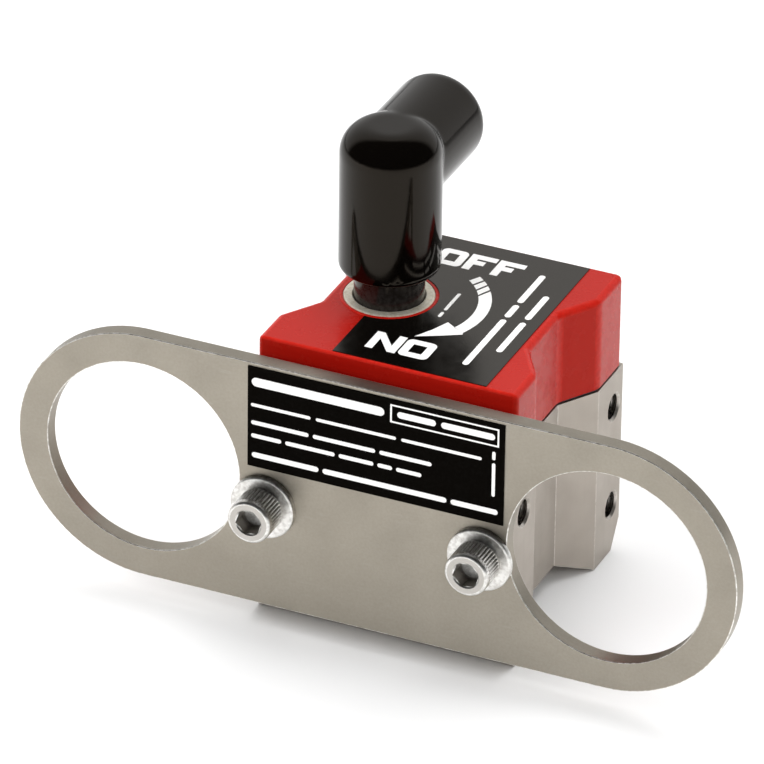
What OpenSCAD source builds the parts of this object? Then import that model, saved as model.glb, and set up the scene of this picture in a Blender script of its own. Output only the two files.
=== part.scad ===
// Switchable magnetic tie-down: a ported steel plate bolted to an on/off magnet block.
// +Z is up and the magnet's feet stand on z = 0. The plate faces -Y and its long side lies along X.
// The handle is drawn in the off position, pointing to the rear.

/* [Tie-down plate] */
// Length of the plate from end to end
plate_length = 196.85; // [190:0.05:205]
// Height of the plate, which is also the diameter of its round ends
plate_height = 69.85; // [66:0.05:74]
// Thickness of the plate
plate_t = 4.4; // [3:0.1:6]
// Radius of the two large ring holes
ring_hole_r = 26.8; // [24:0.1:27]
// Height of the ring holes' centres above the feet
ring_z = 41.5; // [40:0.1:44]
// Distance between the two plate screws
screw_gap = 59.5; // [56:0.1:60]
// Height of the plate screws above the feet
screw_z = 35.7; // [34:0.1:36]

/* [Magnet block] */
// Width of the block across its pole flanges
body_w = 71.2; // [70:0.1:72]
// Depth of the block from its front pole face to its rear pole face
body_l = 72.5; // [71:0.1:76]
// Height of the steel pole housing
body_h = 53.2; // [52:0.1:54]
// Width of the narrow waist between the poles
waist_w = 57.8; // [57:0.1:60]
// Depth of a pole flange along its side
flange_l = 16; // [14:0.1:17]
// Length of each flange's slope down to the waist
flange_slope = 10.8; // [9:0.1:11]
// Front-to-rear size of the chamfer below each pole face
foot_chamfer = 5; // [4:0.1:6]
// Height of that chamfer
foot_chamfer_h = 7.6; // [6:0.1:8]
// Front-to-rear length of each foot that rests on the work
foot_l = 10.6; // [8:0.1:11]
// Height of the channel between the two feet
channel_h = 5.5; // [4:0.1:6]

/* [Cover] */
// Height of the cover above the steel
cover_h = 26.4; // [25:0.1:28]
// Thickness of the cover's walls
cover_wall = 2.5; // [2:0.1:2.8]
// Thickness of the cover's top
cover_top_t = 3.1; // [2.5:0.1:3.5]
// How far the cover stands back from the front pole face
cover_front = 3.5; // [2:0.1:4]
// How far the cover stands back from the rear pole face
cover_rear = 1.3; // [1:0.1:4]
// How far the cover stands back from the sides
cover_inset_x = 0.2; // [0.1:0.1:1]
// Thickness of the gasket below the cover
gasket_t = 0.6; // [0.4:0.1:0.8]

/* [Magnets and rotor] */
// Radius of the bore that holds the two magnets
bore_r = 25.6; // [25:0.1:26]
// Thickness of each magnet
magnet_h = 18.4; // [17:0.1:19]
// Number of teeth on the rotor gear and on the drive gear
teeth = 14; // [14:2:16]
// Distance from the rotor's axis to the handle's axis
gear_gap = 14; // [13.5:0.1:14.2]
// Thickness of the gears
gear_h = 8; // [6:0.5:8]

/* [Handle] */
// Radius of the handle's neck
neck_r = 9.05; // [8.5:0.05:9.1]
// Radius of the grip
grip_r = 13.05; // [12:0.05:14]
// Radius of the grip's arm
arm_r = 12.4; // [11:0.1:13]
// Height of the grip's lower end above the feet
grip_z = 88.4; // [87:0.1:92]
// Height of the whole handle above the feet
handle_z = 128.5; // [126:0.1:134]
// Reach of the arm, from the handle's axis to the arm's end
arm_l = 33.3; // [28:0.1:36]
// How far the handle is pushed down before it turns
push = 4; // [3:0.5:4]
// Across-flats size of the hexagonal drive
hex_af = 7.9; // [7.5:0.1:8]

/* [Hidden] */
$fn = 96;

// Small amounts: a cut's overrun, a running fit, and a gap between parts that slide or turn
over = 0.5;
fit = 0.05;
gap = 0.3;

// Plate screw: 5/16 inch socket head, with a plain washer
head_r = 5.95;
head_h = 7.94;
shank_r = 3.25;
socket_af = 6.35;
washer_r = 8.73;
washer_t = 1.6;
tap_depth = 13;
tap_r = 3.3;

// Planes along Y; the origin is the plan centre of the whole object
stack = plate_t + washer_t + head_h;
front_y = (stack - body_l) / 2;
mid_y = front_y + body_l / 2;
rear_y = front_y + body_l;

// Outline of the block and the cover
half_w = body_w / 2;
half_waist = waist_w / 2;
waist_y = flange_l + flange_slope;

// Tapped holes in the sides and the rear; the left side's pattern is the right side's turned half way round
side_tap_y = [8.9, 66.9];
side_tap_z = [14, 43.1];
side_tap_depth = 10;
rear_tap_z = 28.5;
tap_mouth = 0.8;

// Levels of the cover
seat_z = body_h + gasket_t;
cover_z = body_h + cover_h;
ceiling_z = cover_z - cover_top_t;
boss_r = 12.5;
boss_h = 0.25;
post_r = 4;
post_x = [-11, 21.5];
post_y = 10.3;

// Levels of the magnets and the rotor
floor_z = 8.5;
spacer_t = 1.4;
carrier_h = 3.6;
carrier_top = 51.5;
upper_z = carrier_top - carrier_h - magnet_h;
spacer_z = floor_z + magnet_h;
hub_r = 3.5;
journal_r = 4.45;
pin_r = 2;
pin_orbit = 19;
pin_slot = 2.4;

// Bearing plate
bearing_z = body_h;
bearing_t = 3;
bearing_w = 50;
bearing_l = 43;
bearing_top = bearing_z + bearing_t;
bush_wall = 1.5;
drive_journal_r = 5.55;
small_r = 1.5;
small_x = 21.5;
small_y = 17.9;

// Gears
gear_z = bearing_top + 0.2;
gear_top = gear_z + gear_h;
pitch_r = gear_gap / 2;
mod = gear_gap / teeth;
pressure = 25;
base_r = pitch_r * cos(pressure);
tip_r = pitch_r + 0.93 * mod;
root_r = pitch_r - 1.2 * mod;
backlash = 0.7;
clip_t = 0.9;

// Handle
axis_x = -gear_gap;
arm_z = handle_z - arm_r;
hub_top = gear_top + 2;
hub_outer_r = 6.3;
spring_floor = hub_top + 0.5;
spring_r = 5.9;
wire_r = 0.65;
spring_turns = 6;
pocket_r = 6.95;
pocket_z = 79.8;
neck_z = hub_top + push - gap;
shaft_z = bearing_top + push - 2.5;
core_r = 8.6;
lock_r = 1.25;
lock_z = neck_z + 1.8;
lock_l = 20.8;
bush_r = 11.75;
bush_z = neck_z + 0.8;
bush_top = cover_z + 0.45;

// Labels
label_t = 0.25;
cover_label_x = [-15.2, 26.6];
plate_label_w = 70;
plate_label_z = [46.6, 75.4];

// Plan outline of the block, drawn in by dx at the sides, by d0 at the front and by d1 at the rear
module plan(dx = 0, d0 = 0, d1 = 0) {
    w = half_w - dx;
    n = half_waist - dx;
    y0 = front_y + d0;
    y1 = rear_y - d1;
    a = front_y + flange_l;
    b = front_y + waist_y;
    c = rear_y - waist_y;
    d = rear_y - flange_l;
    polygon([
        [-w, y0], [w, y0], [w, a], [n, b], [n, c], [w, d],
        [w, y1], [-w, y1], [-w, d], [-n, c], [-n, b], [-w, a]
    ]);
}

// Plan outline of the cover, drawn in by d all round
module cover_plan(d = 0) {
    plan(cover_inset_x + d, cover_front + d, cover_rear + d);
}

// Side outline of the steel: two chamfered feet with a channel between them
module side_outline() {
    f0 = front_y + foot_chamfer;
    f1 = f0 + foot_l;
    r0 = rear_y - foot_chamfer;
    r1 = r0 - foot_l;
    polygon([
        [front_y, foot_chamfer_h], [f0, 0], [f1, 0], [front_y + waist_y, channel_h],
        [rear_y - waist_y, channel_h], [r1, 0], [r0, 0], [rear_y, foot_chamfer_h],
        [rear_y, body_h], [front_y, body_h]
    ]);
}

// Blind tapped hole that runs along +Z from the origin, with a chamfered mouth
module tapped_hole(depth) {
    translate([0, 0, -over]) cylinder(r = tap_r, h = depth + over);
    translate([0, 0, -0.01]) cylinder(r1 = tap_r + tap_mouth, r2 = tap_r, h = tap_mouth);
}

module plate_screw_places() {
    for (x = [-screw_gap / 2, screw_gap / 2]) translate([x, 0, screw_z]) children();
}

module cover_screw_places() {
    for (x = post_x, s = [-1, 1]) {
        translate([x, mid_y + s * (body_l / 2 - post_y), 0]) children();
    }
}

module small_screw_places() {
    for (x = [-small_x, small_x], s = [-1, 1]) translate([x, mid_y + s * small_y, 0]) children();
}

module ring(outer, inner, h) {
    difference() {
        cylinder(r = outer, h = h);
        translate([0, 0, -over]) cylinder(r = inner, h = h + 2 * over);
    }
}

module hexagon(af, h) {
    cylinder(d = af / cos(30), h = h, $fn = 6);
}

// Involute gear, with a tooth along +X
function involute(r) = tan(acos(base_r / r)) * 180 / PI - acos(base_r / r);
function flank_angle(r) = 90 / teeth - backlash - (involute(max(r, base_r)) - involute(pitch_r));
function polar(r, a) = [r * cos(a), r * sin(a)];
flank = [root_r, base_r, (base_r + pitch_r) / 2, pitch_r, (pitch_r + tip_r) / 2, tip_r];

module gear(h) {
    n = len(flank);
    points = [for (i = [0 : teeth - 1], j = [0 : 2 * n - 1])
        let (up = j < n, r = flank[up ? j : 2 * n - 1 - j])
            polar(r, i * 360 / teeth + (up ? -1 : 1) * flank_angle(r))];
    linear_extrude(h) polygon(points);
}

module pole_housing() {
    color("lightgray") difference() {
        intersection() {
            linear_extrude(body_h) plan();
            translate([half_w, 0, 0]) rotate([90, 0, -90]) mirror([1, 0, 0])
                linear_extrude(body_w) side_outline();
        }
        translate([0, mid_y, floor_z]) cylinder(r = bore_r, h = body_h);
        plate_screw_places() translate([0, front_y, 0]) rotate([-90, 0, 0]) tapped_hole(tap_depth);
        for (x = [-screw_gap / 2, screw_gap / 2]) {
            translate([x, rear_y, rear_tap_z]) rotate([90, 0, 0]) tapped_hole(tap_depth);
        }
        for (y = side_tap_y, z = side_tap_z) {
            translate([half_w, front_y + y, z]) rotate([0, -90, 0]) tapped_hole(side_tap_depth);
            translate([-half_w, rear_y - y, z]) rotate([0, 90, 0]) tapped_hole(side_tap_depth);
        }
        cover_screw_places() translate([0, 0, body_h - 11]) cylinder(r = 2.02, h = 12);
        small_screw_places() translate([0, 0, body_h - 7]) cylinder(r = small_r + 0.02, h = 8);
    }
}

module lower_magnet() {
    color("dimgray") translate([0, mid_y, floor_z]) cylinder(r = bore_r - 0.1, h = magnet_h);
}

module magnet_spacer() {
    color("goldenrod") translate([0, mid_y, spacer_z]) cylinder(r = bore_r - 1, h = spacer_t);
}

module upper_magnet() {
    color("dimgray") translate([0, mid_y, upper_z]) cylinder(r = bore_r - gap, h = magnet_h);
}

// Half-turn groove for the stop pin, with the pin at its end while the handle is off
module stop_groove() {
    slot_r = pin_r + gap;
    difference() {
        ring(pin_orbit + slot_r, pin_orbit - slot_r, pin_slot + over);
        translate([-2 * bore_r, -bore_r, -over]) cube([2 * bore_r, 2 * bore_r, 2 * pin_slot]);
    }
    for (s = [-1, 1]) translate([0, s * pin_orbit, 0]) cylinder(r = slot_r, h = pin_slot + over);
}

module rotor_carrier() {
    color("silver") translate([0, mid_y, 0]) difference() {
        union() {
            translate([0, 0, carrier_top - carrier_h]) cylinder(r = bore_r - gap, h = carrier_h);
            cylinder_between(journal_r, carrier_top, gear_z);
            cylinder_between(hub_r, gear_z, gear_top + clip_t + 0.3);
        }
        translate([0, 0, carrier_top - pin_slot]) stop_groove();
    }
}

module cylinder_between(r, low, high) {
    translate([0, 0, low]) cylinder(r = r, h = high - low);
}

module rotor_washer() {
    color("goldenrod") translate([0, mid_y, carrier_top]) ring(11, journal_r + fit, 1.4);
}

module rotor_bush() {
    color("goldenrod") translate([0, mid_y, bearing_z])
        ring(journal_r + fit + bush_wall, journal_r + fit, bearing_t);
}

module rotor_gear() {
    color("slategray") translate([0, mid_y, gear_z]) difference() {
        gear(gear_h);
        translate([0, 0, -over]) cylinder(r = hub_r, h = gear_h + 2 * over);
    }
}

module rotor_clip() {
    color("dimgray") translate([0, mid_y, gear_top]) difference() {
        ring(hub_r + 1.8, hub_r, clip_t);
        translate([0, -0.8, -over]) cube([8, 1.6, clip_t + 2 * over]);
    }
}

module stop_pin() {
    color("silver") translate([0, mid_y + pin_orbit, 0])
        cylinder_between(pin_r, carrier_top - pin_slot + gap, bearing_top);
}

module bearing_plate() {
    color("darkgray") difference() {
        translate([-bearing_w / 2, mid_y - bearing_l / 2, bearing_z])
            cube([bearing_w, bearing_l, bearing_t]);
        translate([0, mid_y, bearing_z - over]) {
            cylinder(r = journal_r + fit + bush_wall, h = 2 * bearing_t);
            translate([axis_x, 0, 0]) cylinder(r = drive_journal_r + fit + bush_wall, h = 2 * bearing_t);
            translate([0, pin_orbit, 0]) cylinder(r = pin_r, h = 2 * bearing_t);
        }
        small_screw_places() {
            translate([0, 0, bearing_z - over]) cylinder(r = small_r + 0.1, h = 2 * bearing_t);
            translate([0, 0, bearing_top - small_r - 0.1])
                cylinder(r1 = small_r + 0.1, r2 = 2 * small_r + 0.1, h = small_r + 0.11);
        }
    }
}

module bearing_plate_screws() {
    color("silver") small_screw_places() difference() {
        union() {
            cylinder_between(small_r, body_h - 6, bearing_top - small_r);
            translate([0, 0, bearing_top - small_r - 0.1]) cylinder(r1 = small_r, r2 = 2 * small_r, h = small_r);
        }
        translate([0, 0, bearing_top - 1]) hexagon(2, 2);
    }
}

module drive_bush() {
    color("goldenrod") translate([axis_x, mid_y, bearing_z])
        ring(drive_journal_r + fit + bush_wall, drive_journal_r + fit, bearing_t);
}

module drive_gear() {
    color("slategray") translate([axis_x, mid_y, 0]) difference() {
        union() {
            cylinder_between(drive_journal_r, bearing_z + 0.2, gear_z);
            translate([0, 0, gear_z]) rotate([0, 0, 180 / teeth]) gear(gear_h);
            cylinder_between(hub_outer_r, gear_top, hub_top);
        }
        translate([0, 0, bearing_z - over]) hexagon(hex_af + 0.2, hub_top);
    }
}

module spring_washer() {
    color("silver") translate([axis_x, mid_y, hub_top]) ring(hub_outer_r, 5, spring_floor - hub_top);
}

// Compression spring: a round wire swept along a helix, with closed ends
spring_low = spring_floor + wire_r + 0.02;
spring_high = pocket_z - wire_r - 0.02;
spring_steps = 24;
wire_sides = 10;
spring_rings = spring_turns * spring_steps;
function helix_z(u) = u < 1 ? u * 1.4 * wire_r : u > spring_turns - 1
    ? spring_high - spring_low - (spring_turns - u) * 1.4 * wire_r
    : 1.4 * wire_r + (u - 1) * (spring_high - spring_low - 2.8 * wire_r) / (spring_turns - 2);
function wire_point(i, k) = let (u = i / spring_steps, r = spring_r + wire_r * cos(k * 360 / wire_sides))
    [r * cos(360 * u), r * sin(360 * u), spring_low + helix_z(u) + wire_r * sin(k * 360 / wire_sides)];

module push_spring() {
    points = [for (i = [0 : spring_rings], k = [0 : wire_sides - 1]) wire_point(i, k)];
    walls = [for (i = [0 : spring_rings - 1], k = [0 : wire_sides - 1])
        let (a = i * wire_sides + k, b = i * wire_sides + (k + 1) % wire_sides)
            [a, a + wire_sides, b + wire_sides, b]];
    first = [for (k = [0 : wire_sides - 1]) k];
    last = [for (k = [wire_sides - 1 : -1 : 0]) spring_rings * wire_sides + k];
    color("silver") translate([axis_x, mid_y, 0])
        polyhedron(points = points, faces = concat(walls, [first, last]));
}

// Turned shaft: hexagonal drive below, spring pocket, round neck, and core of the grip
module handle_shaft() {
    color("#1c1c1c") translate([axis_x, mid_y, 0]) difference() {
        union() {
            difference() {
                cylinder_between(neck_r, neck_z, grip_z);
                translate([0, 0, neck_z - over]) cylinder(r = pocket_r, h = pocket_z - neck_z + over);
            }
            translate([0, 0, shaft_z]) hexagon(hex_af, pocket_z - shaft_z + over);
            cylinder_between(core_r, grip_z, arm_z + core_r);
        }
        translate([-pocket_r - 5, 0, lock_z]) rotate([0, 90, 0]) cylinder(r = lock_r, h = 2 * pocket_r + 10);
        translate([0, 0, arm_z]) rotate([-90, 0, 0]) cylinder(r = 4, h = 3 * core_r, center = true);
    }
}

// Two half pins, one on each side of the spring pocket
module lock_pin() {
    color("silver") translate([axis_x, mid_y, lock_z])
        for (s = [0, 180]) rotate([0, 0, s]) translate([pocket_r, 0, 0]) rotate([0, 90, 0])
            cylinder(r = lock_r, h = lock_l / 2 - pocket_r);
}

// Cross arm: a round bar with a spigot pressed through the shaft
module handle_arm() {
    color("#2a2a2a") translate([axis_x, mid_y, arm_z]) rotate([-90, 0, 0]) {
        translate([0, 0, -core_r + 0.4]) cylinder(r = 4, h = 2 * core_r);
        difference() {
            cylinder(r = core_r, h = arm_l - 4);
            rotate([90, 0, 0]) cylinder(r = core_r, h = 3 * core_r, center = true);
        }
    }
}

// Half section of a round bar with rounded ends, to be turned about the Z axis
module bar_section(r, h, low_round, high_round) {
    square([r - max(low_round, high_round), h]);
    translate([0, low_round]) square([r, h - low_round - high_round]);
    if (low_round < high_round) square([r - low_round, h - high_round]);
    translate([r - low_round, low_round]) circle(r = low_round);
    translate([r - high_round, h - high_round]) circle(r = high_round);
}

module grip_bar(r, h, low_round, high_round) {
    rotate_extrude() intersection() {
        bar_section(r, h, low_round, high_round);
        square([2 * r, 2 * h]);
    }
}

module handle_grip() {
    top_round = 7.8;
    color("#111111") translate([axis_x, mid_y, 0]) difference() {
        union() {
            translate([0, 0, grip_z]) grip_bar(grip_r, handle_z - grip_z, 1, top_round);
            translate([0, 0, arm_z]) rotate([-90, 0, 0]) grip_bar(arm_r, arm_l, 0.5, 4.7);
        }
        translate([0, 0, grip_z - over]) cylinder(r = core_r, h = arm_z + core_r - grip_z + over);
        translate([0, 0, arm_z]) rotate([-90, 0, 0]) cylinder(r = core_r, h = arm_l - 4);
    }
}

// Bush for the neck, with an inner groove round its foot for the lock pin
module shaft_bush() {
    color("wheat") translate([axis_x, mid_y, 0]) difference() {
        cylinder_between(bush_r, bush_z, bush_top);
        translate([0, 0, bush_z - over]) cylinder(r = neck_r + fit, h = bush_top);
        translate([0, 0, bush_z - over]) cylinder(r = lock_l / 2 + gap, h = lock_z + lock_r + 0.15 - bush_z + over);
    }
}

module cover_gasket() {
    color("#202020") translate([0, 0, body_h]) linear_extrude(gasket_t) difference() {
        cover_plan(0.4);
        cover_plan(cover_wall);
    }
}

module top_cover() {
    color("firebrick") difference() {
        union() {
            difference() {
                translate([0, 0, seat_z]) linear_extrude(cover_z - seat_z) cover_plan();
                translate([0, 0, seat_z - over]) linear_extrude(ceiling_z - seat_z + over)
                    cover_plan(cover_wall);
            }
            cover_screw_places() cylinder_between(post_r, body_h, ceiling_z + 1);
            translate([axis_x, mid_y, 0]) cylinder_between(boss_r, ceiling_z, cover_z + boss_h);
        }
        translate([axis_x, mid_y, ceiling_z - over]) cylinder(r = bush_r + 0.01, h = 3 * cover_top_t);
        cover_screw_places() {
            translate([0, 0, body_h - over]) cylinder(r = 2.1, h = cover_h);
            translate([0, 0, cover_z - 3.4]) cylinder(r = 3.7, h = 4);
        }
    }
}

module cover_screws() {
    color("silver") cover_screw_places() difference() {
        union() {
            cylinder_between(2, body_h - 10, cover_z - 3.2);
            cylinder_between(3.5, cover_z - 3.4, cover_z - 0.6);
        }
        translate([0, 0, cover_z - 2.4]) hexagon(2.5, 3);
    }
}

module cover_label() {
    w = cover_label_x[1] - cover_label_x[0];
    color("#151515") translate([0, 0, cover_z]) linear_extrude(label_t) difference() {
        translate([cover_label_x[0], front_y + cover_front + 0.8])
            square([w, body_l - cover_front - cover_rear - 1.8]);
        translate([axis_x, mid_y]) circle(r = boss_r + 0.2);
    }
}

module tie_down_plate() {
    end_x = (plate_length - plate_height) / 2;
    color("darkgray") translate([0, front_y, ring_z]) rotate([90, 0, 0]) linear_extrude(plate_t)
        difference() {
            union() {
                square([2 * end_x, plate_height], center = true);
                for (s = [-1, 1]) translate([s * end_x, 0]) circle(d = plate_height);
            }
            for (s = [-1, 1]) {
                translate([s * end_x, 0]) circle(r = ring_hole_r);
                translate([s * screw_gap / 2, screw_z - ring_z]) circle(r = shank_r + 0.9);
            }
        }
}

module plate_washers() {
    color("gainsboro") plate_screw_places() translate([0, front_y - plate_t, 0]) rotate([90, 0, 0])
        ring(washer_r, shank_r + 1, washer_t);
}

module plate_screws() {
    color("gainsboro") plate_screw_places() translate([0, front_y - plate_t - washer_t, 0])
        rotate([90, 0, 0]) difference() {
            union() {
                cylinder(r = head_r, h = head_h - 0.5);
                translate([0, 0, head_h - 0.5]) cylinder(r1 = head_r, r2 = head_r - 0.5, h = 0.5);
                translate([0, 0, -washer_t - plate_t - tap_depth + 3])
                    cylinder(r = shank_r, h = washer_t + plate_t + tap_depth - 2);
            }
            translate([0, 0, head_h - 4]) hexagon(socket_af, 5);
        }
}

module plate_label() {
    color("#151515") translate([0.7 - plate_label_w / 2, front_y - plate_t - label_t, plate_label_z[0]])
        cube([plate_label_w, label_t, plate_label_z[1] - plate_label_z[0]]);
}

pole_housing();
lower_magnet();
magnet_spacer();
upper_magnet();
rotor_carrier();
rotor_washer();
rotor_bush();
rotor_gear();
rotor_clip();
stop_pin();
bearing_plate();
bearing_plate_screws();
drive_bush();
drive_gear();
spring_washer();
push_spring();
handle_shaft();
lock_pin();
handle_arm();
handle_grip();
shaft_bush();
cover_gasket();
top_cover();
cover_screws();
cover_label();
tie_down_plate();
plate_washers();
plate_screws();
plate_label();
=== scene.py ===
"""Switchable magnetic tie-down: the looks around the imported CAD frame. Helpers work in millimetres."""
import math

import bmesh
import bpy
from mathutils import Matrix, Vector


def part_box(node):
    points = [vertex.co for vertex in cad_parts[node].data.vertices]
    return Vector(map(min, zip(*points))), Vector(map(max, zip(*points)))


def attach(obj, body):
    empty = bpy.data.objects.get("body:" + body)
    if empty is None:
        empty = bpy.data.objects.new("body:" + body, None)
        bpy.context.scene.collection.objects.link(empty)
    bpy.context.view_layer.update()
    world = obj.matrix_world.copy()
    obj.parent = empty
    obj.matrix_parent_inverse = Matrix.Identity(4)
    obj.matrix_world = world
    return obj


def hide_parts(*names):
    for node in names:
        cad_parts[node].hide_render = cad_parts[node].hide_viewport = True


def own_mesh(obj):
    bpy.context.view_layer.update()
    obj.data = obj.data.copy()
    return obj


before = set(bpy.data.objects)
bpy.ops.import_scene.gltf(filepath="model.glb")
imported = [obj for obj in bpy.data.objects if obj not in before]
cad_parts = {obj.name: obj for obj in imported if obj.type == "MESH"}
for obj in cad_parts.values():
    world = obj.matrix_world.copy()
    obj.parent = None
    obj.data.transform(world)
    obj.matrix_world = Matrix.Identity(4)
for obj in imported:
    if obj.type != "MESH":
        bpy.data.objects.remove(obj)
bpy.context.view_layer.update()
MM = 0.001


# ---------------------------------------------------------------- places taken from the frame
def box_mm(node):
    """Lowest and highest corner of a CAD node, in millimetres."""
    low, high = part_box(node)
    return low / MM, high / MM


HOUSING_LOW, HOUSING_HIGH = box_mm("pole_housing")
COVER_LOW, COVER_HIGH = box_mm("top_cover")
PLATE_LOW, PLATE_HIGH = box_mm("tie_down_plate")
PLATE_LABEL_LOW = box_mm("plate_label")[0]
COVER_LABEL_LOW, COVER_LABEL_HIGH = box_mm("cover_label")
SHAFT_LOW, SHAFT_HIGH = box_mm("handle_shaft")
GRIP_LOW, GRIP_HIGH = box_mm("handle_grip")
BUSH_LOW, BUSH_HIGH = box_mm("shaft_bush")
WASHER_LOW, WASHER_HIGH = box_mm("plate_washers")
SCREW_LOW, SCREW_HIGH = box_mm("plate_screws")

FRONT_Y, REAR_Y = HOUSING_LOW.y, HOUSING_HIGH.y
MID_Y = (FRONT_Y + REAR_Y) / 2
HALF_W = HOUSING_HIGH.x
BODY_H = HOUSING_HIGH.z
AXIS_X = (SHAFT_LOW.x + SHAFT_HIGH.x) / 2
LABEL_TOP = COVER_LABEL_HIGH.z
COVER_TOP = COVER_LABEL_LOW.z
NECK_R = (SHAFT_HIGH.x - SHAFT_LOW.x) / 2
BUSH_R = (BUSH_HIGH.x - BUSH_LOW.x) / 2
GRIP_R = (GRIP_HIGH.x - GRIP_LOW.x) / 2
ARM_R = 12.4  # the grip's box doesn't show the arm's radius
ARM_Z = GRIP_HIGH.z - ARM_R
PLATE_Z = (PLATE_LOW.z + PLATE_HIGH.z) / 2
PLATE_R = (PLATE_HIGH.z - PLATE_LOW.z) / 2
PLATE_T = PLATE_HIGH.y - PLATE_LOW.y
SCREW_Z = (SCREW_LOW.z + SCREW_HIGH.z) / 2
HEAD_R = (SCREW_HIGH.z - SCREW_LOW.z) / 2
SCREW_X = SCREW_HIGH.x - HEAD_R
WASHER_R = (WASHER_HIGH.z - WASHER_LOW.z) / 2
WASHER_T = WASHER_HIGH.y - WASHER_LOW.y
HEAD_H = WASHER_LOW.y - SCREW_LOW.y


# ---------------------------------------------------------------- mesh helpers
FLAT_UNDER = 40  # degrees; pieces sharper than this keep their flat faces flat
GLINT_TURN, GLINT_WIDTH = 0.2, 0.6  # radians and millimetres: the least turn and most width of a face that gets the painted edge highlight


def finish_mesh(name, bm, material, body, replaces=(), angle=32):
    """Turns a bmesh in millimetres into a named, shaded piece that rides on a body."""
    bmesh.ops.scale(bm, vec=(MM, MM, MM), verts=bm.verts)
    bmesh.ops.recalc_face_normals(bm, faces=bm.faces)
    mesh = bpy.data.meshes.new(name)
    bm.to_mesh(mesh)
    bm.free()
    piece = bpy.data.objects.new(name, mesh)
    bpy.context.scene.collection.objects.link(piece)
    place(piece, material, body, replaces, angle)
    return piece


def place(piece, material, body, replaces=(), angle=32):
    """Shades a piece, gives it its material and fixes it to a body."""
    piece.data.materials.clear()
    piece.data.materials.append(material)
    for face in piece.data.polygons:
        face.material_index = 0
    mark_glint_faces(piece.data)
    piece.data.shade_smooth()
    piece.data.set_sharp_from_angle(angle=math.radians(angle))
    if angle < FLAT_UNDER:
        step = piece.modifiers.new("flat faces stay flat", "WEIGHTED_NORMAL")
        step.keep_sharp = True
    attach(piece, body)
    if replaces:
        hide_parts(*replaces)


def mark_glint_faces(mesh):
    """Stores 1 on the narrow faces along rounded outer edges and 0 on all others, where the materials paint a
    highlight.
    """
    bm = bmesh.new()
    bm.from_mesh(mesh)
    layer = bm.faces.layers.float.new("edge_glint")
    for face in bm.faces:
        turn = max(edge.calc_face_angle_signed(0.0) for edge in face.edges)
        width = face.calc_area() / max(edge.calc_length() for edge in face.edges)
        face[layer] = 1.0 if turn > GLINT_TURN and width < GLINT_WIDTH * MM else 0.0
    bm.to_mesh(mesh)
    bm.free()


def raw_object(bm):
    """A plain object in millimetres, for boolean work."""
    bmesh.ops.recalc_face_normals(bm, faces=bm.faces)
    mesh = bpy.data.meshes.new("work")
    bm.to_mesh(mesh)
    bm.free()
    piece = bpy.data.objects.new("work", mesh)
    bpy.context.scene.collection.objects.link(piece)
    return piece


def applied(piece):
    """Applies a piece's modifiers to its mesh."""
    graph = bpy.context.evaluated_depsgraph_get()
    graph.update()
    mesh = bpy.data.meshes.new_from_object(piece.evaluated_get(graph))
    piece.modifiers.clear()
    piece.data = mesh
    return piece


def combine(piece, tools, operation="DIFFERENCE"):
    """Cuts tools out of a piece, joins them to it, or keeps what they share; the tools are used up."""
    for tool in tools:
        step = piece.modifiers.new("boolean", "BOOLEAN")
        step.operation = operation
        step.solver = "EXACT"
        step.object = tool
        applied(piece)
        bpy.data.objects.remove(tool)
    return piece


def bevelled(piece, width, angle):
    """Rounds a piece's edges that are sharper than an angle in degrees."""
    step = piece.modifiers.new("bevel", "BEVEL")
    step.width = width
    step.segments = 3
    step.limit_method = "ANGLE"
    step.angle_limit = math.radians(angle)
    step.use_clamp_overlap = True
    return applied(piece)


def rounded_edges(piece, width_of):
    """Rounds each edge by the width, in millimetres, that width_of(edge's two ends) gives."""
    widest = 3.0
    mesh = piece.data
    weights = mesh.attributes.new("bevel_weight_edge", "FLOAT", "EDGE")
    for edge in mesh.edges:
        a, b = (mesh.vertices[i].co for i in edge.vertices)
        weights.data[edge.index].value = width_of(a, b) / widest
    step = piece.modifiers.new("bevel", "BEVEL")
    step.width = widest
    step.segments = 5
    step.limit_method = "WEIGHT"
    return applied(piece)


def finish_work(piece, name, material, body, replaces=(), angle=32):
    """Turns a work object in millimetres into a finished piece."""
    bm = bmesh.new()
    bm.from_mesh(piece.data)
    bpy.data.objects.remove(piece)
    bmesh.ops.remove_doubles(bm, verts=bm.verts, dist=0.0005)
    return finish_mesh(name, bm, material, body, replaces, angle)


def prism(outline, low, high, turn=None):
    """A solid with a flat outline, from z = low to z = high, turned by a matrix if one is given."""
    bm = bmesh.new()
    face = bm.faces.new([bm.verts.new((x, y, low)) for x, y in outline])
    grown = bmesh.ops.extrude_face_region(bm, geom=[face])["geom"]
    far_end = [part for part in grown if isinstance(part, bmesh.types.BMVert)]
    bmesh.ops.translate(bm, vec=(0, 0, high - low), verts=far_end)
    if turn is not None:
        bmesh.ops.transform(bm, matrix=turn, verts=bm.verts)
    return bm


def lathe(profile, steps=96, turn=None, closed=False):
    """Turns (radius, z) points about the Z axis. An open profile starts and ends on the axis."""
    bm = bmesh.new()
    rings = []
    for r, z in profile:
        if r < 1e-6:
            rings.append([bm.verts.new((0, 0, z))])
        else:
            rings.append([bm.verts.new((r * math.cos(a), r * math.sin(a), z)) for a in angles(steps)])
    pairs = list(zip(rings, rings[1:])) + ([(rings[-1], rings[0])] if closed else [])
    for one, two in pairs:
        for i in range(steps):
            j = (i + 1) % steps
            ring = [one[i % len(one)], one[j % len(one)], two[j % len(two)], two[i % len(two)]]
            bm.faces.new(list(dict.fromkeys(ring)))
    if turn is not None:
        bmesh.ops.transform(bm, matrix=turn, verts=bm.verts)
    return bm


def angles(steps):
    """Angles of equal steps round a full turn, in radians."""
    return [2 * math.pi * i / steps for i in range(steps)]


def circle_points(r, steps, x=0, y=0):
    """Points of a circle."""
    return [(x + r * math.cos(a), y + r * math.sin(a)) for a in angles(steps)]


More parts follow.
